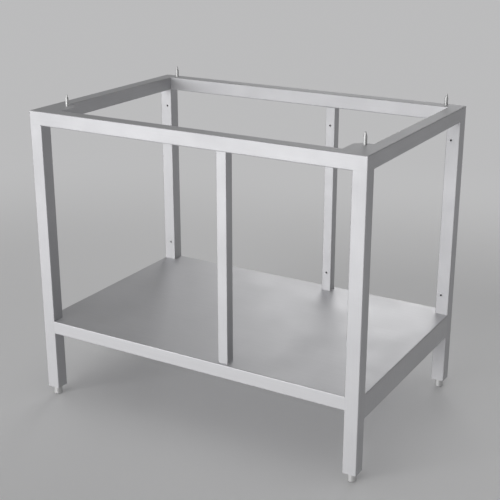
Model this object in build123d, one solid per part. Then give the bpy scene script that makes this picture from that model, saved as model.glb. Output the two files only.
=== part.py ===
from build123d import *
import os

# Oven stand: a welded frame of square steel tube on four levelling feet, with a folded sheet
# shelf low down, two middle posts that divide the space into a wide and a narrow tray bay, and
# four pointed pins on top that locate the oven.
# Millimetres. The origin is on the floor under the middle of the stand, +X is to the right seen
# from the front, +Y to the back and +Z up.

# Frame of square tube
FRAME_WIDTH = 1030.0          # over the legs, left to right
FRAME_DEPTH = 675.0           # over the legs, front to back
FRAME_HEIGHT = 850.0          # leg ends to the top of the top frame
TUBE_SIDE = 40.0              # square tube of the legs and the top frame
TUBE_WALL = 1.5
TUBE_CORNER = 2.5             # outside corner radius of that tube

# Middle posts
POST_SIDE = 30.0
POST_WALL = 1.5
POST_CORNER = 2.0             # outside corner radius of the post tube
RIGHT_BAY = 353.0             # clear width from the posts to the right legs, for trays 325 wide

# Lower shelf, one folded sheet
SHELF_HEIGHT = 220.0          # leg ends to the top of the shelf
SHELF_SHEET = 1.2
FRONT_APRON = 40.0            # height of the edges folded down in front and at the back
SIDE_APRON = 72.0             # height of the edges folded down at the sides
LIP_WIDTH = 15.0              # width of the edge folded back under the shelf
FOLD_RADIUS = 1.5             # inside radius of every fold

# Hat-section stiffeners under the shelf
RIB_MOUTH = 52.0              # width between the flanges
RIB_BASE = 38.0
RIB_DEPTH = 22.0
RIB_FLANGE = 16.0
RIB_SHEET = 1.2
RIB_END_GAP = 1.0             # from the end of the rib to the fold of the apron

# Gusset plates in the front corners of the top frame
GUSSET_WIDTH = 44.0           # along the front rail
GUSSET_LENGTH = 77.0          # along the side rail
GUSSET_CHAMFER = 20.0
GUSSET_PLATE = 5.0

# Locating pins and their nuts
PIN_DIAMETER = 10.0
PIN_HEIGHT = 33.0
PIN_TAPER = 12.0              # length of the conical end
PIN_TIP = 3.5                 # diameter of the blunt end
PIN_INSET = 13.5              # pin axis to the inner face of the side rail
PIN_BACKSET = 60.0            # axis of a front pin to the back face of the front rail
PIN_SHANK = 8.0
PIN_SHANK_END = 2.0           # shank that shows below the nut of a front pin
PIN_SHANK_CHAMFER = 1.0
PIN_HOLE_CLEARANCE = 0.2      # radial, in the gusset and the rail
NUT_FLATS = 13.0
NUT_HEIGHT = 6.5
THREAD_CLEARANCE = 0.05       # radial, between a screw and its thread

# Holes for tray runners in the uprights
RUNNER_HOLE = 6.5             # clears an M6 screw
RUNNER_HOLE_RISE = 60.0       # lower hole above the shelf
RUNNER_HOLE_DROP = 55.0       # upper hole below the top frame
RUNNER_HOLE_EDGE = 15.0       # hole to the inner side of a leg

# Levelling feet
FOOT_HEIGHT = 28.0            # floor to the leg end, with the foot screwed right in
FOOT_DIAMETER = 25.0
FOOT_EDGE = 2.0               # radius of the lower rim
FOOT_BEVEL = 0.6              # bevel of the upper rim
FOOT_WEB = 5.0                # metal between the spindle's seat and the glide's bore
SPINDLE_DIAMETER = 12.0
SPINDLE_REACH = 48.0          # spindle above the foot
SPINDLE_BEVEL = 1.2
SOCKET_LENGTH = 22.0
SOCKET_BEVEL = 1.0
SOCKET_FIT = 0.1              # between each side of the socket and the leg
GLIDE_DIAMETER = 17.0
GLIDE_DROP = 1.5              # glide below the foot
GLIDE_SEAT = 2.5              # glide let into the foot
GLIDE_GAP = 0.4               # radial, round the let-in disc
GLIDE_BEVEL = 0.5
GLIDE_STEM = 8.0
GLIDE_STEM_LENGTH = 6.0
GLIDE_STEM_ROOM = 0.5         # above the end of the stem
GLIDE_STEM_CLEARANCE = 0.05   # radial

# Levels above the floor and places worked out from the sizes above
LEG_END = FOOT_HEIGHT
FRAME_TOP = LEG_END + FRAME_HEIGHT
RAIL_UNDERSIDE = FRAME_TOP - TUBE_SIDE
SHELF_TOP = LEG_END + SHELF_HEIGHT
LEG_X = (FRAME_WIDTH - TUBE_SIDE) / 2
LEG_Y = (FRAME_DEPTH - TUBE_SIDE) / 2
INNER_X = FRAME_WIDTH / 2 - TUBE_SIDE
INNER_Y = FRAME_DEPTH / 2 - TUBE_SIDE
POST_X = INNER_X - RIGHT_BAY - POST_SIDE / 2
POST_Y = INNER_Y + POST_SIDE / 2
PIN_X = INNER_X - PIN_INSET
FRONT_PIN_Y = PIN_BACKSET - INNER_Y
REAR_PIN_Y = LEG_Y
PIN_SHANK_LENGTH = GUSSET_PLATE + NUT_HEIGHT + PIN_SHANK_END
PIN_PLACES = {
    "front_left": (-PIN_X, FRONT_PIN_Y),
    "front_right": (PIN_X, FRONT_PIN_Y),
    "rear_left": (-PIN_X, REAR_PIN_Y),
    "rear_right": (PIN_X, REAR_PIN_Y),
}
CORNERS = {
    "front_left": (-1, -1),
    "front_right": (1, -1),
    "rear_left": (-1, 1),
    "rear_right": (1, 1),
}
STANDING = (Align.CENTER, Align.CENTER, Align.MIN)


def rounded_square(side, corner):
    """A square with round corners, or sharp ones where no radius is left."""
    if corner > 0:
        return RectangleRounded(side, side, corner)
    return Rectangle(side, side)


def tube_section(side, wall, corner):
    """Cross-section of a square tube with an even wall."""
    return rounded_square(side, corner) - rounded_square(side - 2 * wall, corner - wall)


def drill(shape, diameter, place, direction, depth):
    """Cut a hole from a point on a face, inwards along a direction."""
    tool = Cylinder(diameter / 2, 2 * depth)
    return shape - Plane(origin=place, z_dir=direction) * tool


def drill_runner_holes(upright, x, face_y, side):
    """The two runner holes in one wall of an upright, the wall that faces the other row."""
    for level in (SHELF_TOP + RUNNER_HOLE_RISE, RAIL_UNDERSIDE - RUNNER_HOLE_DROP):
        upright = drill(upright, RUNNER_HOLE, (x, face_y, level), (0, 1, 0), side / 2)
    return upright


def leg(across, back):
    """A corner leg, from the foot to the underside of the top frame."""
    section = tube_section(TUBE_SIDE, TUBE_WALL, TUBE_CORNER)
    tube = extrude(section, amount=RAIL_UNDERSIDE - LEG_END)
    tube = Pos(across * LEG_X, back * LEG_Y, LEG_END) * tube
    hole_x = across * (INNER_X + RUNNER_HOLE_EDGE)
    return drill_runner_holes(tube, hole_x, back * INNER_Y, TUBE_SIDE)


def middle_post(back):
    """A post from the shelf to the top frame, flush with the inner face of the rail above."""
    section = tube_section(POST_SIDE, POST_WALL, POST_CORNER)
    tube = extrude(section, amount=RAIL_UNDERSIDE - SHELF_TOP)
    tube = Pos(POST_X, back * POST_Y, SHELF_TOP) * tube
    return drill_runner_holes(tube, POST_X, back * INNER_Y, POST_SIDE)


def mitred_rail(length):
    """A rail of the top frame along X, its outer side towards -Y, with both ends mitred and the
    outer corners ground as round as the corners of the legs below."""
    section = Plane.YZ * tube_section(TUBE_SIDE, TUBE_WALL, TUBE_CORNER)
    tube = extrude(section, amount=length / 2, both=True)
    short_side = length / 2 - TUBE_SIDE
    half = TUBE_SIDE / 2
    centre_x = length / 2 - TUBE_CORNER
    centre_y = TUBE_CORNER - half
    left = CenterArc((-centre_x, centre_y), TUBE_CORNER, -135, 45)
    right = CenterArc((centre_x, centre_y), TUBE_CORNER, -90, 45)
    front = Line(left @ 1, right @ 0)
    rest = Polyline(right @ 1, (short_side, half), (-short_side, half), left @ 0)
    plan = make_face(left + front + right + rest)
    return tube & extrude(plan, amount=half, both=True)


def top_rails():
    """The four mitred rails, each turned to its side of the frame."""
    level = FRAME_TOP - TUBE_SIDE / 2
    rear = Pos(0, LEG_Y, level) * Rot(0, 0, 180) * mitred_rail(FRAME_WIDTH)
    for corner in ("rear_left", "rear_right"):
        hole = PIN_SHANK + 2 * PIN_HOLE_CLEARANCE
        rear = drill(rear, hole, (*PIN_PLACES[corner], FRAME_TOP), (0, 0, 1), TUBE_SIDE / 2)
    return {
        "top_front_rail": Pos(0, -LEG_Y, level) * mitred_rail(FRAME_WIDTH),
        "top_rear_rail": rear,
        "top_left_rail": Pos(-LEG_X, 0, level) * Rot(0, 0, -90) * mitred_rail(FRAME_DEPTH),
        "top_right_rail": Pos(LEG_X, 0, level) * Rot(0, 0, 90) * mitred_rail(FRAME_DEPTH),
    }


def pin_gusset():
    """The right gusset: a plate in the corner of the rails, flush with their tops."""
    outline = Polyline(
        (0, 0),
        (-GUSSET_WIDTH, 0),
        (-GUSSET_WIDTH, GUSSET_LENGTH - GUSSET_CHAMFER),
        (GUSSET_CHAMFER - GUSSET_WIDTH, GUSSET_LENGTH),
        (0, GUSSET_LENGTH),
        close=True,
    )
    plate = extrude(make_face(outline), amount=GUSSET_PLATE)
    plate = Pos(INNER_X, -INNER_Y, FRAME_TOP - GUSSET_PLATE) * plate
    hole = PIN_SHANK + 2 * PIN_HOLE_CLEARANCE
    return drill(plate, hole, (PIN_X, FRONT_PIN_Y, FRAME_TOP), (0, 0, 1), 2 * GUSSET_PLATE)


def locating_pin():
    """A turned pin with a tapered end, standing on z = 0 with its shank below."""
    shank = PIN_SHANK / 2
    half_section = Polyline(
        (0, -PIN_SHANK_LENGTH),
        (shank - PIN_SHANK_CHAMFER, -PIN_SHANK_LENGTH),
        (shank, PIN_SHANK_CHAMFER - PIN_SHANK_LENGTH),
        (shank, 0),
        (PIN_DIAMETER / 2, 0),
        (PIN_DIAMETER / 2, PIN_HEIGHT - PIN_TAPER),
        (PIN_TIP / 2, PIN_HEIGHT),
        (0, PIN_HEIGHT),
        close=True,
    )
    pin = revolve(Plane.XZ * make_face(half_section), Axis.Z)
    rim = pin.edges().filter_by(GeomType.CIRCLE).sort_by(Axis.Z)[-1]
    return fillet(rim, PIN_TIP / 4)


def pin_nut():
    """A hexagon nut with turned corners, hanging below z = 0."""
    hexagon = extrude(RegularPolygon(NUT_FLATS / 2, 6, major_radius=False), amount=NUT_HEIGHT)
    corner = NUT_FLATS / 3**0.5
    turned = Cylinder(corner, NUT_HEIGHT, align=STANDING)
    turned = chamfer(turned.edges().filter_by(GeomType.CIRCLE), corner - NUT_FLATS / 2)
    bore = Cylinder(PIN_SHANK / 2 + THREAD_CLEARANCE, NUT_HEIGHT, align=STANDING)
    return Pos(0, 0, -NUT_HEIGHT) * (hexagon & turned - bore)


def pin_nuts():
    """The four nuts: below the gussets in front, inside the rail at the rear."""
    nuts = []
    for corner, (x, y) in PIN_PLACES.items():
        wall = GUSSET_PLATE if corner.startswith("front") else TUBE_WALL
        nuts.append(Pos(x, y, FRAME_TOP - wall) * pin_nut())
    return Compound([nut.solid() for nut in nuts])


def folded_section(points, sheet):
    """Section of a folded sheet: a line with rounded bends, and the sheet on its right-hand side."""
    line = FilletPolyline(*points, radius=FOLD_RADIUS + sheet)
    return make_face(offset(line, sheet, side=Side.RIGHT))


def shelf_channel(width, apron, length):
    """The shelf's sheet folded down along two sides and back under, running along Y."""
    half = width / 2
    section = folded_section(
        [
            (LIP_WIDTH - half, -apron),
            (-half, -apron),
            (-half, 0),
            (half, 0),
            (half, -apron),
            (half - LIP_WIDTH, -apron),
        ],
        SHELF_SHEET,
    )
    return extrude(Plane.XZ * section, amount=length / 2, both=True)


def lower_shelf():
    """One sheet, folded down on four sides and back under, notched at the corners for the legs."""
    sides = shelf_channel(FRAME_WIDTH, SIDE_APRON, 2 * INNER_Y)
    front_and_rear = Rot(0, 0, 90) * shelf_channel(FRAME_DEPTH, FRONT_APRON, 2 * INNER_X)
    return Pos(0, 0, SHELF_TOP) * (sides + front_and_rear)


def shelf_stiffener(x):
    """A hat section folded from sheet, running front to back with its flanges under the shelf."""
    section = folded_section(
        [
            (-RIB_MOUTH / 2 - RIB_FLANGE, 0),
            (-RIB_MOUTH / 2, 0),
            (-RIB_BASE / 2, -RIB_DEPTH),
            (RIB_BASE / 2, -RIB_DEPTH),
            (RIB_MOUTH / 2, 0),
            (RIB_MOUTH / 2 + RIB_FLANGE, 0),
        ],
        RIB_SHEET,
    )
    clear = SHELF_SHEET + FOLD_RADIUS + RIB_END_GAP
    rib = extrude(Plane.XZ * section, amount=FRAME_DEPTH / 2 - clear, both=True)
    return Pos(x, 0, SHELF_TOP - SHELF_SHEET) * rib


def foot_socket():
    """A square plug in the leg end with a threaded bore."""
    side = TUBE_SIDE - 2 * TUBE_WALL - 2 * SOCKET_FIT
    plug = extrude(rounded_square(side, TUBE_CORNER - TUBE_WALL), amount=SOCKET_LENGTH)
    plug = chamfer(plug.faces().sort_by(Axis.Z)[-1].edges(), SOCKET_BEVEL)
    plug -= Cylinder(SPINDLE_DIAMETER / 2 + THREAD_CLEARANCE, SOCKET_LENGTH, align=STANDING)
    return Pos(0, 0, LEG_END) * plug


# Heights inside a foot, from the floor up
GLIDE_TOP = GLIDE_DROP + GLIDE_SEAT
STEM_TOP = GLIDE_TOP + GLIDE_STEM_LENGTH
SPINDLE_SEAT = STEM_TOP + GLIDE_STEM_ROOM + FOOT_WEB


def levelling_foot():
    """The turned metal foot: seat for the spindle above, recess and bore for the glide below."""
    rim = FOOT_DIAMETER / 2
    recess = GLIDE_DIAMETER / 2 + GLIDE_GAP
    bore = GLIDE_STEM / 2 + GLIDE_STEM_CLEARANCE
    seat = SPINDLE_DIAMETER / 2 + THREAD_CLEARANCE
    side = Polyline(
        (rim, GLIDE_DROP + FOOT_EDGE),
        (rim, FOOT_HEIGHT - FOOT_BEVEL),
        (rim - FOOT_BEVEL, FOOT_HEIGHT),
        (seat, FOOT_HEIGHT),
        (seat, SPINDLE_SEAT),
        (0, SPINDLE_SEAT),
        (0, STEM_TOP + GLIDE_STEM_ROOM),
        (bore, STEM_TOP + GLIDE_STEM_ROOM),
        (bore, GLIDE_TOP),
        (recess, GLIDE_TOP),
        (recess, GLIDE_DROP),
        (rim - FOOT_EDGE, GLIDE_DROP),
    )
    edge = CenterArc((rim - FOOT_EDGE, GLIDE_DROP + FOOT_EDGE), FOOT_EDGE, -90, 90)
    return revolve(Plane.XZ * make_face(side + edge), Axis.Z)


def foot_spindle():
    """The threaded rod of a foot, from its seat in the foot up into the socket."""
    length = FOOT_HEIGHT + SPINDLE_REACH - SPINDLE_SEAT
    rod = Cylinder(SPINDLE_DIAMETER / 2, length, align=STANDING)
    rod = chamfer(rod.edges().filter_by(GeomType.CIRCLE).sort_by(Axis.Z)[-1], SPINDLE_BEVEL)
    return Pos(0, 0, SPINDLE_SEAT) * rod


def foot_glide():
    """The plastic disc under a foot, held by its stem and free to turn."""
    disc = GLIDE_DIAMETER / 2
    half_section = Polyline(
        (0, 0),
        (disc - GLIDE_BEVEL, 0),
        (disc, GLIDE_BEVEL),
        (disc, GLIDE_TOP),
        (GLIDE_STEM / 2, GLIDE_TOP),
        (GLIDE_STEM / 2, STEM_TOP),
        (0, STEM_TOP),
        close=True,
    )
    return revolve(Plane.XZ * make_face(half_section), Axis.Z)


def build_nodes():
    """Every piece under its name, in place."""
    nodes = top_rails()
    for corner, (across, back) in CORNERS.items():
        under_leg = Pos(across * LEG_X, back * LEG_Y)
        nodes["leg_" + corner] = leg(across, back)
        nodes["locating_pin_" + corner] = Pos(*PIN_PLACES[corner], FRAME_TOP) * locating_pin()
        nodes["foot_socket_" + corner] = under_leg * foot_socket()
        nodes["foot_spindle_" + corner] = under_leg * foot_spindle()
        nodes["foot_" + corner] = under_leg * levelling_foot()
        nodes["foot_glide_" + corner] = under_leg * foot_glide()
    nodes["mid_post_front"] = middle_post(-1)
    nodes["mid_post_rear"] = middle_post(1)
    nodes["pin_gusset_right"] = pin_gusset()
    nodes["pin_gusset_left"] = mirror(pin_gusset(), about=Plane.YZ)
    nodes["pin_nuts"] = pin_nuts()
    nodes["lower_shelf"] = lower_shelf()
    left_bay_middle = (POST_X - POST_SIDE / 2 - INNER_X) / 2
    nodes["shelf_stiffener_left"] = shelf_stiffener(left_bay_middle)
    nodes["shelf_stiffener_right"] = shelf_stiffener(POST_X)
    return nodes


os.makedirs("parts", exist_ok=True)
for name, shape in build_nodes().items():
    export_step(shape, "parts/" + name + ".step")
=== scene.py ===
import math

import bpy
import numpy as np
from bpy.props import FloatProperty, FloatVectorProperty, PointerProperty
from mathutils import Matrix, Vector


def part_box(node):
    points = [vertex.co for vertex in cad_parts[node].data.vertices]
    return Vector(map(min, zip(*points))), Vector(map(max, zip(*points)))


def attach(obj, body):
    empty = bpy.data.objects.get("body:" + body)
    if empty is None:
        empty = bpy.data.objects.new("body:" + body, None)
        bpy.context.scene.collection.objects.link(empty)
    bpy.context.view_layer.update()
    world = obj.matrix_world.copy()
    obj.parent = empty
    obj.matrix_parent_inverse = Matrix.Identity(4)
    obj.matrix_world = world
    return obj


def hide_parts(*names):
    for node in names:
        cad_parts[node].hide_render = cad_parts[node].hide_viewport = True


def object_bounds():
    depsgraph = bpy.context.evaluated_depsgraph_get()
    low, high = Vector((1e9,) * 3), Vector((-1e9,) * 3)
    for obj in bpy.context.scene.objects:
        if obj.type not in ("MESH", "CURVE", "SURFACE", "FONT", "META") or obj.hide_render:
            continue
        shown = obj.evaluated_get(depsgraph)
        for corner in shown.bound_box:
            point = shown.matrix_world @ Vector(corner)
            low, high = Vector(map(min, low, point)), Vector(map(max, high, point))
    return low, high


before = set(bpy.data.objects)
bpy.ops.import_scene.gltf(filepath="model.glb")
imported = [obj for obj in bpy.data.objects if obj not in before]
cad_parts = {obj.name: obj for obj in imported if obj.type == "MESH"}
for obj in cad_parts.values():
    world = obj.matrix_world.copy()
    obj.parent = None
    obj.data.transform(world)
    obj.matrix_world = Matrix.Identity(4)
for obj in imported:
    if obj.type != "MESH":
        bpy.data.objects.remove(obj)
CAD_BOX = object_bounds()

# Looks of the oven stand: satin steel tubes and shelf, ground and beaded welds, threaded
# levelling feet, and a plain studio. Laid out as an add-on and run as a script.
# Metres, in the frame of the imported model: +X right, +Y back, +Z up, floor at zero.

bl_info = {
    "name": "Oven Stand Looks",
    "version": (1, 0, 0),
    "blender": (4, 5, 0),
    "location": "View3D > Sidebar > Oven Stand",
    "description": "Finishes, welds, foot threads and a plain studio for the oven stand",
    "category": "Object",
}

MM = 0.001
CORNERS = ("front_left", "front_right", "rear_left", "rear_right")
TURNED_NODES = ("locating_pin_", "foot_")

DOWN, UP = (0.0, 0.0, -1.0), (0.0, 0.0, 1.0)

# Finishes
ALONG_X, ALONG_Y, ALONG_Z = 0, 1, 2         # ways that a grain can run
BROAD_GRAIN = 6.0             # broad brushing streaks are so many times as large as the fine ones
NOISE_LOW, NOISE_HIGH = 0.25, 0.75          # a noise factor mostly stays between these
NOISE_ROUGHNESS = 0.6         # strength of each finer layer of a noise beside the one before
UNCHANGING = 1000.0           # noise marks of this length look the same all over the stand
SIDEWAYS = math.sin(math.radians(45.0))     # X part of a normal from which a face is a side

# Sheet and welds
SHELF_SHEET = 1.2 * MM
RIB_SHEET = 1.2 * MM
RIB_FLANGE = 16.0 * MM        # flanges of the stiffeners, which lie against the shelf
FOLD_CLEAR = 2.2 * MM         # the welds at the shelf's ends stop so far from its folds
FEATHER = 6.0                 # degrees of arc left off at each thin edge of a ground weld
ARC_POINTS = 7                # points on a quarter circle
BEAD_MARGIN = 1.0 * MM        # a bead ends so far from the rounded corner of its tube
BEAD_ROWS = 6                 # rings of points on each ripple of a bead
BEAD_LEAST_ROWS = 8           # rings of points on the shortest bead
BEAD_POINTS = 9               # points across a bead
BEAD_BEND = 0.45              # how far a ripple is bent back, in ripples
BEAD_WAVE = 0.07              # height of a ripple, as a share of the bead's size
BEAD_BULGE = 1.4              # exponent of a bead's section: 1 is flat and 2 is round
BEAD_END = 24                 # exponent of a bead's run-out: larger is more sudden
BEAD_END_SIZE = 0.02          # square of the share of its size that a bead keeps at its ends
SPOT_RING = 0.25 * MM         # height of the ring round a spot weld
SPOT_STEP = 0.02 * MM         # height of its outer edge
SPOT_EYE = 0.04               # radius of its flat middle, as a share of its own
SPOT_ROWS, SPOT_POINTS = 14, 28

# Foot spindles
SPINDLE_BEVEL = 1.2 * MM
THREAD_ROWS = 10              # rings of points on each turn of the thread
THREAD_POINTS = 40            # points round the thread
THREAD_FLATS = 1.5            # 1 makes the thread a plain wave, more gives it flat crests and roots
SHARP_EDGE = math.radians(40.0)             # steeper edges are shaded sharp

# Floor
FLOOR_PATCH = 1.5             # size of the faint patches of its tone
FLOOR_ROUGHNESS = 0.9
FLOOR_GLOSS = 0.1

# Light of the room: even up to a part of the way to overhead, then growing.
HORIZON_LEVEL, CEILING_LEVEL = 0.07, 0.5
EVEN_UP_TO = 0.35

# Lamps: where each stands, the point it shines at, and its width and height. The sheen lamp is
# lower than the top frame, so that it lights the shelf and leaves the upper faces of the rails.
KEY_PLACE, KEY_AIM, KEY_SIZE = (-3.8, -12.8, 2.1), (0.0, 0.0, 0.4), (12.0, 4.3)
SHEEN_PLACE, SHEEN_AIM, SHEEN_SIZE = (-0.3, 1.9, 0.7), (0.25, -0.1, 0.25), (1.6, 0.3)
BACK_PLACE, BACK_AIM, BACK_SIZE = (-1.2, 5.5, 1.4), (0.2, 0.0, 0.3), (4.0, 0.6)
WIDE_BEAM = math.pi
SHEEN_BEAM = math.radians(40.0)
SENSOR_WIDTH = 36.0           # millimetres, as the lens
VIEW_LENGTH = 200.0           # how far the camera sees


def low_high(node):
    """Lowest and highest corner of a CAD node as arrays."""
    low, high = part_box(node)
    return np.array(low), np.array(high)


def outward_signs(corner):
    """Which way is outwards at a corner of the stand: minus or plus one in X and in Y."""
    across = -1.0 if corner.endswith("left") else 1.0
    back = -1.0 if corner.startswith("front") else 1.0
    return across, back


LEG_LOW, LEG_HIGH = low_high("leg_front_right")
POST_LOW, POST_HIGH = low_high("mid_post_front")
SHELF_LOW, SHELF_HIGH = low_high("lower_shelf")
SPINDLE_LOW, SPINDLE_HIGH = low_high("foot_spindle_front_right")
GUSSET_LOW, GUSSET_HIGH = low_high("pin_gusset_right")
LEG_SIDE = LEG_HIGH[0] - LEG_LOW[0]
OUTER_X, OUTER_Y = CAD_BOX[1][:2]                            # outer faces of the legs
INNER_X, INNER_Y = OUTER_X - LEG_SIDE, OUTER_Y - LEG_SIDE    # inner faces of the legs
SPINDLE_RADIUS = float(SPINDLE_HIGH[0] - SPINDLE_LOW[0]) / 2


class OvenStandFinish(bpy.types.PropertyGroup):
    """Colours and grain of the metal and plastic surfaces."""

    steel_colour: FloatVectorProperty(
        name="Steel colour",
        description="Base colour of the satin stainless steel",
        subtype="COLOR",
        size=3,
        min=0.0,
        max=1.0,
        default=(0.66, 0.66, 0.675),
    )
    steel_roughness: FloatProperty(
        name="Steel roughness",
        description="Middle value of the satin steel's roughness",
        subtype="FACTOR",
        min=0.05,
        max=1.0,
        default=0.66,
    )
    shelf_roughness: FloatProperty(
        name="Shelf roughness",
        description="Middle value of the roughness of the shelf's sheet, smoother than the tubes",
        subtype="FACTOR",
        min=0.05,
        max=1.0,
        default=0.6,
    )
    grain_width: FloatProperty(
        name="Grain width",
        description="Width of one brushing mark on the satin steel",
        subtype="DISTANCE",
        unit="LENGTH",
        min=0.0001,
        default=0.0007,
    )
    grain_length: FloatProperty(
        name="Grain length",
        description="Length of one brushing mark on the satin steel",
        subtype="DISTANCE",
        unit="LENGTH",
        min=0.001,
        default=0.09,
    )
    tint_colour: FloatVectorProperty(
        name="Heat tint",
        description="Colour that the heat leaves on the spot welds",
        subtype="COLOR",
        size=3,
        min=0.0,
        max=1.0,
        default=(0.36, 0.3, 0.23),
    )
    turned_colour: FloatVectorProperty(
        name="Turned steel colour",
        description="Base colour of the turned pins and feet",
        subtype="COLOR",
        size=3,
        min=0.0,
        max=1.0,
        default=(0.7, 0.7, 0.7),
    )
    zinc_colour: FloatVectorProperty(
        name="Zinc colour",
        description="Base colour of the plated nuts, sockets and spindles",
        subtype="COLOR",
        size=3,
        min=0.0,
        max=1.0,
        default=(0.62, 0.62, 0.6),
    )
    glide_colour: FloatVectorProperty(
        name="Glide colour",
        description="Colour of the nylon glides under the feet",
        subtype="COLOR",
        size=3,
        min=0.0,
        max=1.0,
        default=(0.03, 0.03, 0.032),
    )


class OvenStandDetail(bpy.types.PropertyGroup):
    """Sizes of the welds and threads."""

    front_apron: FloatProperty(
        name="Front apron",
        description="Height of the shelf's edge in front and at the back, less than at the sides",
        subtype="DISTANCE",
        unit="LENGTH",
        min=0.005,
        default=40.0 * MM,
    )
    tube_corner: FloatProperty(
        name="Tube corner",
        description="Corner radius of the tubes, which the ground welds fill up",
        subtype="DISTANCE",
        unit="LENGTH",
        min=0.0005,
        default=2.5 * MM,
    )
    bead_size: FloatProperty(
        name="Bead size",
        description="Leg length of a weld bead in an inside corner",
        subtype="DISTANCE",
        unit="LENGTH",
        min=0.0005,
        default=2.4 * MM,
    )
    bead_ripple: FloatProperty(
        name="Bead ripple",
        description="Distance from one ripple of a weld bead to the next",
        subtype="DISTANCE",
        unit="LENGTH",
        min=0.0003,
        default=1.3 * MM,
    )
    spot_diameter: FloatProperty(
        name="Spot weld",
        description="Diameter of a spot weld's mark on the flanges of the stiffeners",
        subtype="DISTANCE",
        unit="LENGTH",
        min=0.001,
        default=5.5 * MM,
    )
    spot_spacing: FloatProperty(
        name="Spot spacing",
        description="Distance from one spot weld to the next along a flange",
        subtype="DISTANCE",
        unit="LENGTH",
        min=0.01,
        default=70.0 * MM,
    )
    thread_pitch: FloatProperty(
        name="Thread pitch",
        description="Rise of the foot thread in one turn",
        subtype="DISTANCE",
        unit="LENGTH",
        min=0.0005,
        default=1.75 * MM,
    )
    thread_depth: FloatProperty(
        name="Thread depth",
        description="Depth of the foot thread from crest to root",
        subtype="DISTANCE",
        unit="LENGTH",
        min=0.0002,
        default=1.05 * MM,
    )


class OvenStandStage(bpy.types.PropertyGroup):
    """Floor, lamps and camera."""

    floor_colour: FloatVectorProperty(
        name="Floor colour",
        description="Colour of the plain floor",
        subtype="COLOR",
        size=3,
        min=0.0,
        max=1.0,
        default=(0.85, 0.85, 0.855),
    )
    far_colour: FloatVectorProperty(
        name="Far floor tone",
        description="Even tone that the floor takes on far from the stand",
        subtype="COLOR",
        size=3,
        min=0.0,
        max=1.0,
        default=(0.5, 0.5, 0.505),
    )
    far_start: FloatProperty(
        name="Far floor start",
        description="Distance from the stand at which the floor starts to take on its far tone",
        subtype="DISTANCE",
        unit="LENGTH",
        min=0.5,
        default=1.4,
    )
    far_end: FloatProperty(
        name="Far floor end",
        description="Distance from the stand at which the floor has its far tone",
        subtype="DISTANCE",
        unit="LENGTH",
        min=1.0,
        default=3.0,
    )
    floor_width: FloatProperty(
        name="Floor width",
        description="Width and length of the floor",
        subtype="DISTANCE",
        unit="LENGTH",
        min=1.0,
        default=80.0,
    )
    room_level: FloatProperty(
        name="Room light",
        description="Strength of the soft light from all round and above",
        min=0.0,
        default=1.08,
    )
    key_power: FloatProperty(
        name="Key lamp",
        description="Power of the large soft lamp in front on the left",
        unit="POWER",
        min=0.0,
        default=1340.0,
    )
    sheen_power: FloatProperty(
        name="Sheen lamp",
        description="Power of the narrow lamp close behind, which gives the shelf its sheen",
        unit="POWER",
        min=0.0,
        default=0.3,
    )
    back_power: FloatProperty(
        name="Back lamp",
        description="Power of the wide soft lamp far behind, which lights the rear faces",
        unit="POWER",
        min=0.0,
        default=80.0,
    )
    camera_place: FloatVectorProperty(
        name="Camera place",
        description="Where the camera stands",
        subtype="XYZ",
        unit="LENGTH",
        size=3,
        default=(1.4638, -2.49498, 1.46991),
    )
    camera_aim: FloatVectorProperty(
        name="Camera aim",
        description="The point in the middle of the picture",
        subtype="XYZ",
        unit="LENGTH",
        size=3,
        default=(0.05537, -0.09395, 0.49326),
    )
    camera_lens: FloatProperty(
        name="Camera lens",
        description="Focal length in millimetres on a 36 mm wide sensor",
        min=10.0,
        default=74.9,
    )


def new_material(name):
    """A material with its node tree and its main shader."""
    material = bpy.data.materials.new(name)
    material.use_nodes = True
    tree = material.node_tree
    return material, tree, tree.nodes["Principled BSDF"]


def add_node(tree, kind, **inputs):
    """A node with some of its inputs set; an input's spaces are written as underscores."""
    node = tree.nodes.new(kind)
    for key, value in inputs.items():
        node.inputs[key.replace("_", " ")].default_value = value
    return node


def tone_ramp(tree, factor, dark, light):
    """A colour that goes from one tone to another with a factor."""
    ramp = tree.nodes.new("ShaderNodeValToRGB")
    ramp.color_ramp.elements[0].color = (*dark, 1.0)
    ramp.color_ramp.elements[1].color = (*light, 1.0)
    tree.links.new(factor, ramp.inputs["Fac"])
    return ramp.outputs["Color"]


def value_range(tree, factor, low, high):
    """A number that goes from low to high as a noise factor goes through its usual values."""
    spread = add_node(tree, "ShaderNodeMapRange", From_Min=NOISE_LOW, From_Max=NOISE_HIGH)
    spread.inputs["To Min"].default_value = low
    spread.inputs["To Max"].default_value = high
    tree.links.new(factor, spread.inputs["Value"])
    return spread.outputs["Result"]


def blend_factors(tree, share, first, second):
    """A weighted mean of two noise factors; the share is a number or a socket."""
    mix = tree.nodes.new("ShaderNodeMix")
    if isinstance(share, float):
        mix.inputs["Factor"].default_value = share
    else:
        tree.links.new(share, mix.inputs["Factor"])
    tree.links.new(first, mix.inputs["A"])
    tree.links.new(second, mix.inputs["B"])
    return mix.outputs["Result"]


def bump_normal(tree, shader, height, strength, depth):
    """Bump on a shader's normal from a noise factor."""
    bump = add_node(tree, "ShaderNodeBump", Strength=strength, Distance=depth)
    tree.links.new(height, bump.inputs["Height"])
    tree.links.new(bump.outputs["Normal"], shader.inputs["Normal"])


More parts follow.
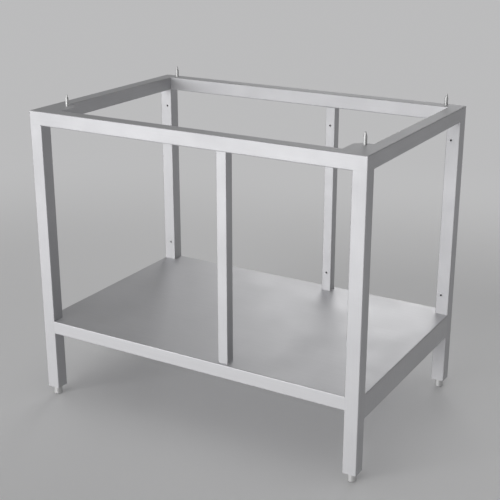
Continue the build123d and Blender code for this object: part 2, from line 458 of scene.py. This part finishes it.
def stretched_noise(tree, sizes, detail):
    """Noise on Object coordinates whose marks have a given size in X, Y and Z."""
    place = tree.nodes.new("ShaderNodeTexCoord")
    stretch = tree.nodes.new("ShaderNodeMapping")
    stretch.inputs["Scale"].default_value = [1.0 / size for size in sizes]
    noise = add_node(tree, "ShaderNodeTexNoise", Scale=1.0, Detail=detail)
    noise.inputs["Roughness"].default_value = NOISE_ROUGHNESS
    tree.links.new(place.outputs["Object"], stretch.inputs["Vector"])
    tree.links.new(stretch.outputs["Vector"], noise.inputs["Vector"])
    return noise.outputs["Fac"]


def even_noise(tree, size, detail):
    """Noise whose marks have the same size all ways."""
    return stretched_noise(tree, (size, size, size), detail)


def shaded(colour, factor):
    """A colour made lighter or darker."""
    return tuple(min(1.0, part * factor) for part in colour)


def brushed_streaks(tree, grain_axis, finish):
    """Fine and broad noise streaks along one axis, as a brushing belt leaves them."""
    fine = [finish.grain_width] * 3
    fine[grain_axis] = finish.grain_length
    broad = [finish.grain_width * BROAD_GRAIN] * 3
    broad[grain_axis] = finish.grain_length * BROAD_GRAIN
    hairs = stretched_noise(tree, fine, detail=3.0)
    bands = stretched_noise(tree, broad, detail=2.0)
    band_share = 0.35
    return blend_factors(tree, band_share, hairs, bands)


def faces_sideways(tree):
    """One on faces that look left or right, nought on the others."""
    surface = tree.nodes.new("ShaderNodeNewGeometry")
    split = tree.nodes.new("ShaderNodeSeparateXYZ")
    size = tree.nodes.new("ShaderNodeMath")
    size.operation = "ABSOLUTE"
    steep = tree.nodes.new("ShaderNodeMath")
    steep.operation = "GREATER_THAN"
    steep.inputs[1].default_value = SIDEWAYS
    tree.links.new(surface.outputs["Normal"], split.inputs["Vector"])
    tree.links.new(split.outputs["X"], size.inputs[0])
    tree.links.new(size.outputs["Value"], steep.inputs[0])
    return steep.outputs["Value"]


def satin_steel(name, grain_axis, finish, roughness=None, side_axis=None):
    """Brushed steel. Streaks along the grain give the bump, the tone and part of the roughness, and
    soft clouds make the roughness uneven, as on steel wiped by hand. Where a sheet is folded down
    at its left and right edges, its grain runs on along side_axis there."""
    material, tree, shader = new_material(name)
    clouds = even_noise(tree, 140.0 * MM, detail=3.0)
    cloud_share, roughness_swing = 0.5, 0.1
    dark, light = 0.86, 1.1
    brushed = brushed_streaks(tree, grain_axis, finish)
    if side_axis is not None:
        on_sides = brushed_streaks(tree, side_axis, finish)
        brushed = blend_factors(tree, faces_sideways(tree), brushed, on_sides)
    uneven = blend_factors(tree, cloud_share, brushed, clouds)
    middle = roughness or finish.steel_roughness
    gloss = value_range(tree, uneven, middle - roughness_swing, middle + roughness_swing)
    colour = tuple(finish.steel_colour)
    tone = tone_ramp(tree, brushed, shaded(colour, dark), shaded(colour, light))
    tree.links.new(tone, shader.inputs["Base Color"])
    tree.links.new(gloss, shader.inputs["Roughness"])
    shader.inputs["Metallic"].default_value = 1.0
    bump_normal(tree, shader, brushed, strength=0.35, depth=0.1 * MM)
    return material


def spot_steel(name, finish):
    """Steel of the spot welds. Cloudy noise shifts the tone from bare steel to a straw-coloured tint
    left by the heat."""
    material, tree, shader = new_material(name)
    clouds = even_noise(tree, 3.0 * MM, detail=2.0)
    grit = even_noise(tree, 0.4 * MM, detail=2.0)
    dulled = 0.8
    bare = shaded(tuple(finish.steel_colour), dulled)
    tone = tone_ramp(tree, clouds, tuple(finish.tint_colour), bare)
    tree.links.new(tone, shader.inputs["Base Color"])
    tree.links.new(value_range(tree, clouds, low=0.45, high=0.6), shader.inputs["Roughness"])
    shader.inputs["Metallic"].default_value = 1.0
    bump_normal(tree, shader, grit, strength=0.3, depth=0.04 * MM)
    return material


def turned_steel(name, finish):
    """Turned steel. Noise that changes only with height gives the fine rings of the turning tool."""
    material, tree, shader = new_material(name)
    rings = stretched_noise(tree, (UNCHANGING, UNCHANGING, 0.4 * MM), detail=2.0)
    clouds = even_noise(tree, 12.0 * MM, detail=2.0)
    cloud_share = 0.4
    dark, light = 0.93, 1.04
    uneven = blend_factors(tree, cloud_share, rings, clouds)
    colour = tuple(finish.turned_colour)
    tone = tone_ramp(tree, uneven, shaded(colour, dark), shaded(colour, light))
    tree.links.new(tone, shader.inputs["Base Color"])
    tree.links.new(value_range(tree, uneven, low=0.52, high=0.66), shader.inputs["Roughness"])
    shader.inputs["Metallic"].default_value = 1.0
    bump_normal(tree, shader, rings, strength=0.3, depth=0.03 * MM)
    return material


def zinc_plate(name, finish):
    """Zinc plating. Cloudy noise shifts the tone from cool to faintly yellow."""
    material, tree, shader = new_material(name)
    clouds = even_noise(tree, 6.0 * MM, detail=4.0)
    grit = even_noise(tree, 0.5 * MM, detail=2.0)
    cool, warm = (0.97, 1.0, 1.04), (1.06, 1.03, 0.9)
    colour = tuple(finish.zinc_colour)
    cold = tuple(part * shift for part, shift in zip(colour, cool))
    mild = tuple(part * shift for part, shift in zip(colour, warm))
    tree.links.new(tone_ramp(tree, clouds, cold, mild), shader.inputs["Base Color"])
    tree.links.new(value_range(tree, clouds, low=0.28, high=0.42), shader.inputs["Roughness"])
    shader.inputs["Metallic"].default_value = 1.0
    bump_normal(tree, shader, grit, strength=0.2, depth=0.03 * MM)
    return material


def glide_nylon(name, finish):
    """Black nylon with a fine moulded grain."""
    material, tree, shader = new_material(name)
    grit = even_noise(tree, 0.6 * MM, detail=3.0)
    dark, light = 0.8, 1.3
    colour = tuple(finish.glide_colour)
    tone = tone_ramp(tree, grit, shaded(colour, dark), shaded(colour, light))
    tree.links.new(tone, shader.inputs["Base Color"])
    tree.links.new(value_range(tree, grit, low=0.5, high=0.65), shader.inputs["Roughness"])
    bump_normal(tree, shader, grit, strength=0.4, depth=0.06 * MM)
    return material


def finish_nodes(material, names):
    """Put a material on CAD nodes."""
    for name in names:
        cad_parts[name].material_slots[0].material = material


def grid_faces(rows, columns):
    """Corner numbers of the faces of a grid of points whose columns close into a ring."""
    row = np.arange(rows - 1)[:, None] * columns
    column = np.arange(columns)[None, :]
    after = (column + 1) % columns
    corners = (row + column, row + after, row + columns + after, row + columns + column)
    return np.stack(corners, axis=-1).reshape(-1, 4)


def swept_solid(points):
    """A closed skin over rings of points, shaped rows by columns by three, with a flat end on the
    first and the last ring. It is turned so that its faces point outwards: the sum of the signed
    volumes from the origin to its faces has to be positive."""
    rows, columns = points.shape[:2]
    quads = grid_faces(rows, columns)
    flat = points.reshape(-1, 3)
    first = np.arange(columns)[::-1]
    last = np.arange(columns) + (rows - 1) * columns
    fans = []
    for end in (first, last):
        fans.append(np.stack([np.full(columns - 2, end[0]), end[1:-1], end[2:]], axis=-1))
    triangles = np.concatenate([quads[:, [0, 1, 2]], quads[:, [0, 2, 3]], *fans])
    a, b, c = (flat[triangles[:, corner]] for corner in range(3))
    faces = quads.tolist() + [first.tolist(), last.tolist()]
    if np.einsum("ij,ij->", a, np.cross(b, c)) < 0:
        faces = [face[::-1] for face in faces]
    return flat, faces


def new_piece(name, solids, material, body):
    """One object from one or more closed solids, riding on a body."""
    points = []
    faces = []
    start = 0
    for flat, own_faces in solids:
        points.append(flat)
        faces += [[corner + start for corner in face] for face in own_faces]
        start += len(flat)
    mesh = bpy.data.meshes.new(name)
    mesh.from_pydata(np.concatenate(points).tolist(), [], faces)
    mesh.polygons.foreach_set("use_smooth", np.ones(len(faces), dtype=bool))
    mesh.set_sharp_from_angle(angle=SHARP_EDGE)
    mesh.materials.append(material)
    mesh.validate()
    piece = bpy.data.objects.new(name, mesh)
    bpy.context.scene.collection.objects.link(piece)
    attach(piece, body)
    return piece


def ground_weld(path, along_face, inwards, radius):
    """Weld filling the groove beside a rounded tube edge, ground flush. Its section is the space
    between a round corner and the two flat faces that would meet there: from the sharp corner at
    the path, an arc round a centre one radius away on both faces. The section is carried along
    the path; along_face and inwards are its two directions at each point of the path."""
    turn = np.radians(np.linspace(FEATHER, 90.0 - FEATHER, ARC_POINTS))
    on_face = np.concatenate([[0.0], radius * (1 - np.cos(turn))])
    in_depth = np.concatenate([[0.0], radius * (1 - np.sin(turn))])
    points = path[:, None, :] + on_face[None, :, None] * along_face[:, None, :]
    points = points + in_depth[None, :, None] * inwards[:, None, :]
    return swept_solid(points)


def straight_weld(start, end, along_face, inwards, radius):
    """Ground weld along a straight edge."""
    path = np.array([start, end], dtype=float)
    return ground_weld(path, np.tile(along_face, (2, 1)), np.tile(inwards, (2, 1)), radius)


def weld_bead(start, end, first_face, second_face, size, ripple):
    """Bead of weld in an inside corner. Its section is a quarter of a superellipse: the distances
    from the two faces, each to the power of the bulge, add up to the size to that power. The size
    swells with the sine of the way along the corner, half a wave to each ripple, and the ripples
    bend back towards the sides of the bead like fish scales. At both ends the size runs out as the
    square root of one less a high power of the way from the middle."""
    length = float(np.linalg.norm(np.subtract(end, start)))
    rows = max(BEAD_LEAST_ROWS, int(length / ripple * BEAD_ROWS))
    way = np.linspace(0.0, 1.0, rows)[:, None]
    turn = np.linspace(0.0, math.pi / 2, BEAD_POINTS)[None, :]
    bent = way * length / ripple + BEAD_BEND * np.cos(2 * turn) ** 2
    wave = 1.0 + BEAD_WAVE * np.abs(np.sin(math.pi * bent))
    run_out = np.sqrt(np.clip(1.0 - np.abs(2 * way - 1) ** BEAD_END, BEAD_END_SIZE, 1.0))
    bulge = (np.cos(turn) ** BEAD_BULGE + np.sin(turn) ** BEAD_BULGE) ** (-1 / BEAD_BULGE)
    reach = size * wave * run_out * bulge
    corner = np.asarray(start, dtype=float) + way * np.subtract(end, start)
    skin = corner[:, None, :] + (reach * np.cos(turn))[..., None] * np.asarray(first_face, dtype=float)
    skin = skin + (reach * np.sin(turn))[..., None] * np.asarray(second_face, dtype=float)
    return swept_solid(np.concatenate([corner[:, None, :], skin], axis=1))


def spot_mark(x, y, z, diameter):
    """Mark of a spot weld on a face that looks down. Its depth below the face follows the way from
    the rim to the middle: the squared sine of half a turn times the squared way, so that a ring
    stands proud round a flat dish. The first ring of points lies inside the sheet."""
    way = np.linspace(1.0, SPOT_EYE, SPOT_ROWS)[:, None]
    drop = SPOT_STEP + SPOT_RING * np.sin(math.pi * way**2) ** 2
    way = np.concatenate([[[1.0]], way])
    drop = np.concatenate([[[-SPOT_STEP]], drop])
    angle = np.linspace(0.0, 2 * math.pi, SPOT_POINTS, endpoint=False)[None, :]
    reach = way * diameter / 2
    across = x + reach * np.cos(angle)
    along = y + reach * np.sin(angle)
    return swept_solid(np.stack([across, along, np.broadcast_to(z - drop, across.shape)], axis=-1))


def spindle_thread(centre, low, high, radius, pitch, depth):
    """Threaded rod. The radius falls from crest to root with a clipped cosine of height over pitch
    less angle over a full turn, a right-hand helix, and is held under a bevel at the top end."""
    rows = int((high - low) / pitch * THREAD_ROWS)
    height = np.linspace(low, high, rows)[:, None]
    angle = np.linspace(0.0, 2 * math.pi, THREAD_POINTS, endpoint=False)[None, :]
    wave = np.clip(THREAD_FLATS * np.cos(2 * math.pi * height / pitch - angle), -1.0, 1.0)
    reach = radius - depth * (1.0 - wave) / 2
    reach = np.minimum(reach, radius - SPINDLE_BEVEL + (high - height))
    x = centre[0] + reach * np.cos(angle)
    y = centre[1] + reach * np.sin(angle)
    return swept_solid(np.stack([x, y, np.broadcast_to(height, x.shape)], axis=-1))


class OVENSTAND_OT_finish_tubes(bpy.types.Operator):
    """Brush the legs, posts and rails along their length"""

    bl_idname = "ovenstand.finish_tubes"
    bl_label = "Finish tubes"

    def execute(self, context):
        finish = context.scene.oven_stand_finish
        upright = ["leg_" + corner for corner in CORNERS] + ["mid_post_front", "mid_post_rear"]
        finish_nodes(satin_steel("satin_steel_upright", ALONG_Z, finish), upright)
        across = ["top_front_rail", "top_rear_rail"]
        finish_nodes(satin_steel("satin_steel_across", ALONG_X, finish), across)
        back = ["top_left_rail", "top_right_rail"]
        finish_nodes(satin_steel("satin_steel_back", ALONG_Y, finish), back)
        return {"FINISHED"}


class OVENSTAND_OT_finish_sheet(bpy.types.Operator):
    """Brush the folded shelf, its stiffeners and the gusset plates"""

    bl_idname = "ovenstand.finish_sheet"
    bl_label = "Finish sheet"

    def execute(self, context):
        finish = context.scene.oven_stand_finish
        smooth = finish.shelf_roughness
        shelf = satin_steel("satin_steel_shelf", ALONG_X, finish, smooth, side_axis=ALONG_Z)
        finish_nodes(shelf, ["lower_shelf"])
        ribs = ["shelf_stiffener_left", "shelf_stiffener_right"]
        finish_nodes(satin_steel("satin_steel_ribs", ALONG_Y, finish), ribs)
        gussets = ["pin_gusset_left", "pin_gusset_right"]
        finish_nodes(satin_steel("satin_steel_gussets", ALONG_Y, finish), gussets)
        return {"FINISHED"}


class OVENSTAND_OT_finish_hardware(bpy.types.Operator):
    """Finish the turned pins and feet, the plated nuts and sockets and the nylon glides"""

    bl_idname = "ovenstand.finish_hardware"
    bl_label = "Finish hardware"

    def execute(self, context):
        finish = context.scene.oven_stand_finish
        turned = [start + corner for start in TURNED_NODES for corner in CORNERS]
        finish_nodes(turned_steel("turned_steel", finish), turned)
        plated = ["foot_socket_" + corner for corner in CORNERS] + ["pin_nuts"]
        finish_nodes(zinc_plate("zinc_plate", finish), plated)
        glides = ["foot_glide_" + corner for corner in CORNERS]
        finish_nodes(glide_nylon("glide_nylon", finish), glides)
        return {"FINISHED"}


class OVENSTAND_OT_ground_welds(bpy.types.Operator):
    """Fill the grooves at the welded outer edges flush with the tubes"""

    bl_idname = "ovenstand.ground_welds"
    bl_label = "Ground welds"

    def execute(self, context):
        detail = context.scene.oven_stand_detail
        radius = detail.tube_corner
        material = satin_steel("satin_steel_welds", ALONG_X, context.scene.oven_stand_finish)
        for corner in CORNERS:
            solids = [self.leg_top(corner, radius)]
            new_piece("top_weld_" + corner, solids, material, "frame")
            solids = self.shelf_ends(corner, radius, detail.front_apron)
            new_piece("shelf_weld_" + corner, solids, material, "frame")
        for side, across in (("left", -1.0), ("right", 1.0)):
            solids = self.gusset_edges(across, radius)
            new_piece("gusset_weld_" + side, solids, material, "frame")
        return {"FINISHED"}

    def leg_top(self, corner, radius):
        """Path round the two outer faces of a leg, just under the top frame."""
        across, back = outward_signs(corner)
        turn = np.radians(np.linspace(0.0, 90.0, ARC_POINTS))
        half = LEG_SIDE / 2
        middle = half - radius
        x = np.concatenate([[-half + radius], middle + radius * np.sin(turn), [half]])
        y = np.concatenate([[half], middle + radius * np.cos(turn), [-half + radius]])
        normal_x = np.concatenate([[0.0], np.sin(turn), [1.0]])
        normal_y = np.concatenate([[1.0], np.cos(turn), [0.0]])
        centre_x = across * (OUTER_X - half)
        centre_y = back * (OUTER_Y - half)
        level = np.full_like(x, LEG_HIGH[2])
        path = np.stack([centre_x + across * x, centre_y + back * y, level], axis=-1)
        inwards = np.stack([-across * normal_x, -back * normal_y, np.zeros_like(x)], axis=-1)
        upwards = np.tile(UP, (len(x), 1))
        return ground_weld(path, upwards, inwards, radius)

    def shelf_ends(self, corner, radius, front_apron):
        """The two upright edges where the shelf's aprons meet a leg, and the notch behind it."""
        across, back = outward_signs(corner)
        top = SHELF_HIGH[2]
        high = top - FOLD_CLEAR
        face_low = top - front_apron + FOLD_CLEAR
        flank_low = SHELF_LOW[2] + FOLD_CLEAR
        to_leg_x, to_leg_y = (across, 0.0, 0.0), (0.0, back, 0.0)
        to_mid_x, to_mid_y = (-across, 0.0, 0.0), (0.0, -back, 0.0)
        face = (across * INNER_X, back * OUTER_Y)
        flank = (across * OUTER_X, back * INNER_Y)
        notch = (across * INNER_X, back * INNER_Y)
        return [
            straight_weld((*face, face_low), (*face, high), to_leg_x, to_mid_y, radius),
            straight_weld((*flank, flank_low), (*flank, high), to_leg_y, to_mid_x, radius),
            straight_weld((*notch, top - SHELF_SHEET), (*notch, top), to_leg_x, to_leg_y, radius),
        ]

    def gusset_edges(self, across, radius):
        """The two level edges where a gusset plate meets the rails."""
        top = GUSSET_HIGH[2]
        front, rear = GUSSET_LOW[1], GUSSET_HIGH[1]
        wall, free = across * GUSSET_HIGH[0], across * GUSSET_LOW[0]
        on_front_rail, on_side_rail = (0.0, -1.0, 0.0), (across, 0.0, 0.0)
        past = wall + across * radius
        return [
            straight_weld((free, front, top), (past, front, top), on_front_rail, DOWN, radius),
            straight_weld((wall, front, top), (wall, rear, top), on_side_rail, DOWN, radius),
        ]


class OVENSTAND_OT_weld_beads(bpy.types.Operator):
    """Lay beads of weld in the inside corners below the top frame and round the posts"""

    bl_idname = "ovenstand.weld_beads"
    bl_label = "Weld beads"

    def execute(self, context):
        detail = context.scene.oven_stand_detail
        material = satin_steel("satin_steel_beads", ALONG_X, context.scene.oven_stand_finish)
        for corner in CORNERS:
            solids = self.leg_beads(corner, detail)
            new_piece("leg_bead_" + corner, solids, material, "frame")
        for row, back in (("front", -1.0), ("rear", 1.0)):
            solids = self.post_beads(back, detail)
            new_piece("post_bead_" + row, solids, material, "frame")
        for side, across in (("left", -1.0), ("right", 1.0)):
            solids = self.gusset_beads(across, detail)
            new_piece("gusset_bead_" + side, solids, material, "frame")
        return {"FINISHED"}

    def leg_beads(self, corner, detail):
        """Two beads under the rails, on the inner faces of a leg."""
        across, back = outward_signs(corner)
        level = LEG_HIGH[2]
        margin = detail.tube_corner + BEAD_MARGIN
        x, y = across * INNER_X, back * INNER_Y
        x_far, y_far = across * (OUTER_X - margin), back * (OUTER_Y - margin)
        x_near, y_near = across * (INNER_X + margin), back * (INNER_Y + margin)
        size, ripple = detail.bead_size, detail.bead_ripple
        return [
            weld_bead((x, y_near, level), (x, y_far, level), DOWN, (-across, 0.0, 0.0), size, ripple),
            weld_bead((x_near, y, level), (x_far, y, level), DOWN, (0.0, -back, 0.0), size, ripple),
        ]

    def post_beads(self, back, detail):
        """Beads on the two sides of a post, at the rail and at the shelf."""
        margin = detail.tube_corner + BEAD_MARGIN
        near, far = back * (-POST_HIGH[1] + margin), back * (-POST_LOW[1] - margin)
        size, ripple = detail.bead_size, detail.bead_ripple
        solids = []
        for x, out in ((POST_LOW[0], (-1.0, 0.0, 0.0)), (POST_HIGH[0], (1.0, 0.0, 0.0))):
            top = POST_HIGH[2]
            solids.append(weld_bead((x, near, top), (x, far, top), DOWN, out, size, ripple))
            foot = POST_LOW[2]
            solids.append(weld_bead((x, near, foot), (x, far, foot), UP, out, size, ripple))
        return solids

    def gusset_beads(self, across, detail):
        """Beads under a gusset plate, along the front rail and along the side rail."""
        under = GUSSET_LOW[2]
        front, rear = GUSSET_LOW[1], GUSSET_HIGH[1]
        wall, free = across * GUSSET_HIGH[0], across * GUSSET_LOW[0]
        size, ripple = detail.bead_size, detail.bead_ripple
        under_plate_x, under_plate_y = (-across, 0.0, 0.0), (0.0, 1.0, 0.0)
        return [
            weld_bead((free, front, under), (wall, front, under), under_plate_y, DOWN, size, ripple),
            weld_bead((wall, front, under), (wall, rear, under), under_plate_x, DOWN, size, ripple),
        ]


class OVENSTAND_OT_spot_welds(bpy.types.Operator):
    """Press the marks of the spot welds that hold the stiffeners to the shelf"""

    bl_idname = "ovenstand.spot_welds"
    bl_label = "Spot welds"

    def execute(self, context):
        detail = context.scene.oven_stand_detail
        material = spot_steel("spot_steel", context.scene.oven_stand_finish)
        for side in ("left", "right"):
            low, high = low_high("shelf_stiffener_" + side)
            count = int((high[1] - low[1]) / detail.spot_spacing)
            reach = detail.spot_spacing * (count - 1) / 2
            rows = np.linspace(-reach, reach, count)
            flanges = (low[0] + RIB_FLANGE / 2, high[0] - RIB_FLANGE / 2)
            level = high[2] - RIB_SHEET
            solids = [spot_mark(x, y, level, detail.spot_diameter) for x in flanges for y in rows]
            new_piece("spot_welds_" + side, solids, material, "frame")
        return {"FINISHED"}


class OVENSTAND_OT_spindle_threads(bpy.types.Operator):
    """Cut the thread on the four foot spindles"""

    bl_idname = "ovenstand.spindle_threads"
    bl_label = "Spindle threads"

    def execute(self, context):
        detail = context.scene.oven_stand_detail
        material = zinc_plate("zinc_plate_thread", context.scene.oven_stand_finish)
        for corner in CORNERS:
            node = "foot_spindle_" + corner
            low, high = low_high(node)
            centre = (low + high) / 2
            pitch, depth = detail.thread_pitch, detail.thread_depth
            solid = spindle_thread(centre, low[2], high[2], SPINDLE_RADIUS, pitch, depth)
            name, body = "threaded_spindle_" + corner, corner + "_foot"
            piece = new_piece(name, [solid], material, body)
            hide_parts(node)
        return {"FINISHED"}


def soft_lamp(name, place, aim, size, power, beam):
    """A rectangular lamp that shines from one point towards another, with a beam of a given angle."""
    data = bpy.data.lights.new(name, "AREA")
    data.shape = "RECTANGLE"
    data.size, data.size_y = size
    data.energy = power
    data.spread = beam
    lamp = bpy.data.objects.new(name, data)
    lamp.location = place
    lamp.rotation_euler = (Vector(aim) - Vector(place)).to_track_quat("-Z", "Y").to_euler()
    lamp.visible_camera = False
    bpy.context.scene.collection.objects.link(lamp)


class OVENSTAND_OT_stage(bpy.types.Operator):
    """Set up the floor, the lamps, the even light and the camera"""

    bl_idname = "ovenstand.stage"
    bl_label = "Stage"

    def execute(self, context):
        stage = context.scene.oven_stand_stage
        self.lay_floor(stage)
        self.light_room(context.scene, stage)
        self.set_camera(context.scene, stage)
        context.scene.view_settings.view_transform = "Standard"
        return {"FINISHED"}

    def lay_floor(self, stage):
        """A flat pale floor with a faint unevenness of tone."""
        half = stage.floor_width / 2
        mesh = bpy.data.meshes.new("floor")
        ends = [(-half, -half, 0.0), (half, -half, 0.0), (half, half, 0.0), (-half, half, 0.0)]
        mesh.from_pydata(ends, [], [(0, 1, 2, 3)])
        material, tree, shader = new_material("pale_floor")
        clouds = even_noise(tree, FLOOR_PATCH, detail=2.0)
        dark, light = 0.985, 1.015
        colour = tuple(stage.floor_colour)
        tone = tone_ramp(tree, clouds, shaded(colour, dark), shaded(colour, light))
        tree.links.new(tone, shader.inputs["Base Color"])
        shader.inputs["Roughness"].default_value = FLOOR_ROUGHNESS
        shader.inputs["Specular IOR Level"].default_value = FLOOR_GLOSS
        self.even_out(tree, shader, stage)
        mesh.materials.append(material)
        floor = bpy.data.objects.new("floor", mesh)
        bpy.context.scene.collection.objects.link(floor)

    def even_out(self, tree, shader, stage):
        """Far from the stand the floor goes over into one even pale tone, for what the camera sees
        and for what metal mirrors; it lights nothing."""
        place = tree.nodes.new("ShaderNodeTexCoord")
        distance = tree.nodes.new("ShaderNodeVectorMath")
        distance.operation = "LENGTH"
        fade = add_node(tree, "ShaderNodeMapRange", From_Min=stage.far_start, From_Max=stage.far_end)
        fade.interpolation_type = "SMOOTHSTEP"
        rays = tree.nodes.new("ShaderNodeLightPath")
        seen = rays.outputs["Is Camera Ray"]
        for ray in ("Is Glossy Ray", "Is Transmission Ray"):
            seen = self.join(tree, "MAXIMUM", seen, rays.outputs[ray])
        even = tree.nodes.new("ShaderNodeEmission")
        even.inputs["Color"].default_value = (*stage.far_colour, 1.0)
        mix = tree.nodes.new("ShaderNodeMixShader")
        tree.links.new(place.outputs["Object"], distance.inputs[0])
        tree.links.new(distance.outputs["Value"], fade.inputs["Value"])
        tree.links.new(self.join(tree, "MULTIPLY", seen, fade.outputs["Result"]), mix.inputs["Fac"])
        tree.links.new(shader.outputs["BSDF"], mix.inputs[1])
        tree.links.new(even.outputs["Emission"], mix.inputs[2])
        tree.links.new(mix.outputs["Shader"], tree.nodes["Material Output"].inputs["Surface"])

    def join(self, tree, operation, first, second):
        """Two numbers joined by an operation."""
        node = tree.nodes.new("ShaderNodeMath")
        node.operation = operation
        tree.links.new(first, node.inputs[0])
        tree.links.new(second, node.inputs[1])
        return node.outputs["Value"]

    def light_room(self, scene, stage):
        """Soft light from the room, which grows towards the ceiling, a large lamp in front on the
        left and two weak ones behind. The camera sees the room in the floor's far tone."""
        world = bpy.data.worlds.new("studio")
        world.use_nodes = True
        tree = world.node_tree
        place = tree.nodes.new("ShaderNodeTexCoord")
        split = tree.nodes.new("ShaderNodeSeparateXYZ")
        ramp = tree.nodes.new("ShaderNodeValToRGB")
        horizon = (HORIZON_LEVEL, HORIZON_LEVEL, HORIZON_LEVEL, 1.0)
        ceiling = (CEILING_LEVEL, CEILING_LEVEL, CEILING_LEVEL, 1.0)
        ramp.color_ramp.elements[0].color = horizon
        ramp.color_ramp.elements[1].color = ceiling
        ramp.color_ramp.elements.new(EVEN_UP_TO).color = horizon
        room = tree.nodes["Background"]
        room.inputs["Strength"].default_value = stage.room_level
        seen = add_node(tree, "ShaderNodeBackground", Color=(*stage.far_colour, 1.0), Strength=1.0)
        rays = tree.nodes.new("ShaderNodeLightPath")
        mix = tree.nodes.new("ShaderNodeMixShader")
        tree.links.new(place.outputs["Generated"], split.inputs["Vector"])
        tree.links.new(split.outputs["Z"], ramp.inputs["Fac"])
        tree.links.new(ramp.outputs["Color"], room.inputs["Color"])
        tree.links.new(rays.outputs["Is Camera Ray"], mix.inputs["Fac"])
        tree.links.new(room.outputs["Background"], mix.inputs[1])
        tree.links.new(seen.outputs["Background"], mix.inputs[2])
        tree.links.new(mix.outputs["Shader"], tree.nodes["World Output"].inputs["Surface"])
        scene.world = world
        soft_lamp("key_lamp", KEY_PLACE, KEY_AIM, KEY_SIZE, stage.key_power, WIDE_BEAM)
        soft_lamp("sheen_lamp", SHEEN_PLACE, SHEEN_AIM, SHEEN_SIZE, stage.sheen_power, SHEEN_BEAM)
        soft_lamp("back_lamp", BACK_PLACE, BACK_AIM, BACK_SIZE, stage.back_power, WIDE_BEAM)

    def set_camera(self, scene, stage):
        """The camera at the photograph's viewing angle."""
        data = bpy.data.cameras.new("camera")
        data.sensor_fit = "HORIZONTAL"
        data.sensor_width = SENSOR_WIDTH
        data.lens = stage.camera_lens
        data.clip_end = VIEW_LENGTH
        camera = bpy.data.objects.new("camera", data)
        place = Vector(stage.camera_place)
        camera.location = place
        camera.rotation_euler = (Vector(stage.camera_aim) - place).to_track_quat("-Z", "Y").to_euler()
        scene.collection.objects.link(camera)
        scene.camera = camera


class OVENSTAND_PT_looks(bpy.types.Panel):
    """The steps that dress the oven stand"""

    bl_idname = "OVENSTAND_PT_looks"
    bl_label = "Oven stand"
    bl_space_type = "VIEW_3D"
    bl_region_type = "UI"
    bl_category = "Oven Stand"

    def draw(self, context):
        for step in STEPS:
            self.layout.operator(step.bl_idname)


STEPS = (
    OVENSTAND_OT_finish_tubes,
    OVENSTAND_OT_finish_sheet,
    OVENSTAND_OT_finish_hardware,
    OVENSTAND_OT_ground_welds,
    OVENSTAND_OT_weld_beads,
    OVENSTAND_OT_spot_welds,
    OVENSTAND_OT_spindle_threads,
    OVENSTAND_OT_stage,
)
CLASSES = (OvenStandFinish, OvenStandDetail, OvenStandStage, *STEPS, OVENSTAND_PT_looks)


def register():
    for each in CLASSES:
        bpy.utils.register_class(each)
    bpy.types.Scene.oven_stand_finish = PointerProperty(type=OvenStandFinish)
    bpy.types.Scene.oven_stand_detail = PointerProperty(type=OvenStandDetail)
    bpy.types.Scene.oven_stand_stage = PointerProperty(type=OvenStandStage)


def unregister():
    del bpy.types.Scene.oven_stand_stage
    del bpy.types.Scene.oven_stand_detail
    del bpy.types.Scene.oven_stand_finish
    for each in reversed(CLASSES):
        bpy.utils.unregister_class(each)


def main():
    register()
    bpy.ops.ovenstand.finish_tubes()
    bpy.ops.ovenstand.finish_sheet()
    bpy.ops.ovenstand.finish_hardware()
    bpy.ops.ovenstand.ground_welds()
    bpy.ops.ovenstand.weld_beads()
    bpy.ops.ovenstand.spot_welds()
    bpy.ops.ovenstand.spindle_threads()
    bpy.ops.ovenstand.stage()


if __name__ == "__main__":
    main()
